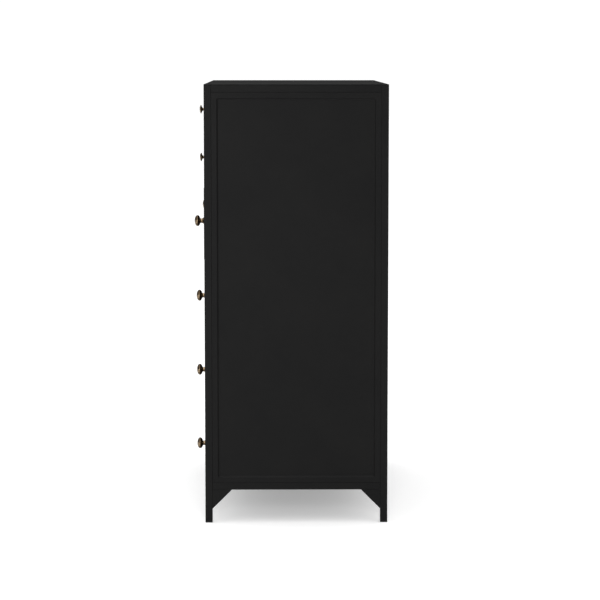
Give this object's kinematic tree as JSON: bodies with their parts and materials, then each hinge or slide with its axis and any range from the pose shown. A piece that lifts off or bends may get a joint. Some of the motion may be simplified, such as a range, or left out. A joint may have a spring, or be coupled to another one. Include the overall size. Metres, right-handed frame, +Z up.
{
  "type": "tall chest of drawers",
  "caption": "Tall black steel chest of drawers on short gusseted legs: paired small drawers over full-width ones, turned aged-brass knobs, telescopic slides.",
  "frame": {"origin": "on the floor, under the middle of the whole chest's box, knobs included", "axes": "+Z up; the drawers face and open towards -Y; +X is to the right when seen from the front"},
  "size_m": [0.965, 0.539, 1.219],
  "materials": {
    "black_paint": "satin black powder coat with a very fine grain",
    "aged_brass": "dark aged brass, rubbed brighter on the high spots",
    "zinc_plated_steel": "bright zinc plating, slightly dulled",
    "black_nylon": "matt moulded nylon"
  },
  "bodies": {
    "root": {"front_left_post": "black_paint", "front_right_post": "black_paint", "rear_left_post": "black_paint", "rear_right_post": "black_paint", "side_rails": "black_paint", "rear_rails": "black_paint", "front_rails": "black_paint", "centre_partition": "black_paint", "left_side_panel": "black_paint", "right_side_panel": "black_paint", "back_panel": "black_paint", "top_panel": "black_paint", "base_panel": "black_paint", "corner_gussets": "black_paint", "foot_glides": "black_nylon", "slide_supports": "black_paint", "cabinet_slides": "zinc_plated_steel", "slide_screws": "zinc_plated_steel"},
    "top_left_drawer": {"top_left_drawer_front": "black_paint", "top_left_drawer_box": "black_paint", "top_left_drawer_knobs": "aged_brass", "top_left_drawer_runners": "zinc_plated_steel"},
    "top_left_drawer_middle_member": {"top_left_drawer_slide_middle": "zinc_plated_steel"},
    "top_right_drawer": {"top_right_drawer_front": "black_paint", "top_right_drawer_box": "black_paint", "top_right_drawer_knobs": "aged_brass", "top_right_drawer_runners": "zinc_plated_steel"},
    "top_right_drawer_middle_member": {"top_right_drawer_slide_middle": "zinc_plated_steel"},
    "second_left_drawer": {"second_left_drawer_front": "black_paint", "second_left_drawer_box": "black_paint", "second_left_drawer_knobs": "aged_brass", "second_left_drawer_runners": "zinc_plated_steel"},
    "second_left_drawer_middle_member": {"second_left_drawer_slide_middle": "zinc_plated_steel"},
    "second_right_drawer": {"second_right_drawer_front": "black_paint", "second_right_drawer_box": "black_paint", "second_right_drawer_knobs": "aged_brass", "second_right_drawer_runners": "zinc_plated_steel"},
    "second_right_drawer_middle_member": {"second_right_drawer_slide_middle": "zinc_plated_steel"},
    "wide_drawer_1": {"wide_drawer_1_front": "black_paint", "wide_drawer_1_box": "black_paint", "wide_drawer_1_knobs": "aged_brass", "wide_drawer_1_runners": "zinc_plated_steel"},
    "wide_drawer_1_middle_member": {"wide_drawer_1_slide_middle": "zinc_plated_steel"},
    "wide_drawer_2": {"wide_drawer_2_front": "black_paint", "wide_drawer_2_box": "black_paint", "wide_drawer_2_knobs": "aged_brass", "wide_drawer_2_runners": "zinc_plated_steel"},
    "wide_drawer_2_middle_member": {"wide_drawer_2_slide_middle": "zinc_plated_steel"},
    "wide_drawer_3": {"wide_drawer_3_front": "black_paint", "wide_drawer_3_box": "black_paint", "wide_drawer_3_knobs": "aged_brass", "wide_drawer_3_runners": "zinc_plated_steel"},
    "wide_drawer_3_middle_member": {"wide_drawer_3_slide_middle": "zinc_plated_steel"},
    "wide_drawer_4": {"wide_drawer_4_front": "black_paint", "wide_drawer_4_box": "black_paint", "wide_drawer_4_knobs": "aged_brass", "wide_drawer_4_runners": "zinc_plated_steel"},
    "wide_drawer_4_middle_member": {"wide_drawer_4_slide_middle": "zinc_plated_steel"}
  },
  "joints": [
    {"name": "top_left_drawer_slide", "type": "slide", "parent": "root", "child": "top_left_drawer", "axis": [0, -1, 0], "range_m": [0, 0.44]},
    {"name": "top_left_drawer_middle_member_slide", "type": "slide", "parent": "root", "child": "top_left_drawer_middle_member", "axis": [0, -1, 0], "range_m": [0, 0.22]},
    {"name": "top_right_drawer_slide", "type": "slide", "parent": "root", "child": "top_right_drawer", "axis": [0, -1, 0], "range_m": [0, 0.44]},
    {"name": "top_right_drawer_middle_member_slide", "type": "slide", "parent": "root", "child": "top_right_drawer_middle_member", "axis": [0, -1, 0], "range_m": [0, 0.22]},
    {"name": "second_left_drawer_slide", "type": "slide", "parent": "root", "child": "second_left_drawer", "axis": [0, -1, 0], "range_m": [0, 0.44]},
    {"name": "second_left_drawer_middle_member_slide", "type": "slide", "parent": "root", "child": "second_left_drawer_middle_member", "axis": [0, -1, 0], "range_m": [0, 0.22]},
    {"name": "second_right_drawer_slide", "type": "slide", "parent": "root", "child": "second_right_drawer", "axis": [0, -1, 0], "range_m": [0, 0.44]},
    {"name": "second_right_drawer_middle_member_slide", "type": "slide", "parent": "root", "child": "second_right_drawer_middle_member", "axis": [0, -1, 0], "range_m": [0, 0.22]},
    {"name": "wide_drawer_1_slide", "type": "slide", "parent": "root", "child": "wide_drawer_1", "axis": [0, -1, 0], "range_m": [-0.0045, 0.4355]},
    {"name": "wide_drawer_1_middle_member_slide", "type": "slide", "parent": "root", "child": "wide_drawer_1_middle_member", "axis": [0, -1, 0], "range_m": [-0.00225, 0.21775]},
    {"name": "wide_drawer_2_slide", "type": "slide", "parent": "root", "child": "wide_drawer_2", "axis": [0, -1, 0], "range_m": [0, 0.44]},
    {"name": "wide_drawer_2_middle_member_slide", "type": "slide", "parent": "root", "child": "wide_drawer_2_middle_member", "axis": [0, -1, 0], "range_m": [0, 0.22]},
    {"name": "wide_drawer_3_slide", "type": "slide", "parent": "root", "child": "wide_drawer_3", "axis": [0, -1, 0], "range_m": [0, 0.44]},
    {"name": "wide_drawer_3_middle_member_slide", "type": "slide", "parent": "root", "child": "wide_drawer_3_middle_member", "axis": [0, -1, 0], "range_m": [0, 0.22]},
    {"name": "wide_drawer_4_slide", "type": "slide", "parent": "root", "child": "wide_drawer_4", "axis": [0, -1, 0], "range_m": [0, 0.44]},
    {"name": "wide_drawer_4_middle_member_slide", "type": "slide", "parent": "root", "child": "wide_drawer_4_middle_member", "axis": [0, -1, 0], "range_m": [0, 0.22]}
  ],
  "couplings": [
    {"joint": "top_left_drawer_middle_member_slide", "follows": "top_left_drawer_slide", "ratio": 0.5},
    {"joint": "top_right_drawer_middle_member_slide", "follows": "top_right_drawer_slide", "ratio": 0.5},
    {"joint": "second_left_drawer_middle_member_slide", "follows": "second_left_drawer_slide", "ratio": 0.5},
    {"joint": "second_right_drawer_middle_member_slide", "follows": "second_right_drawer_slide", "ratio": 0.5},
    {"joint": "wide_drawer_1_middle_member_slide", "follows": "wide_drawer_1_slide", "ratio": 0.5},
    {"joint": "wide_drawer_2_middle_member_slide", "follows": "wide_drawer_2_slide", "ratio": 0.5},
    {"joint": "wide_drawer_3_middle_member_slide", "follows": "wide_drawer_3_slide", "ratio": 0.5},
    {"joint": "wide_drawer_4_middle_member_slide", "follows": "wide_drawer_4_slide", "ratio": 0.5}
  ]
}
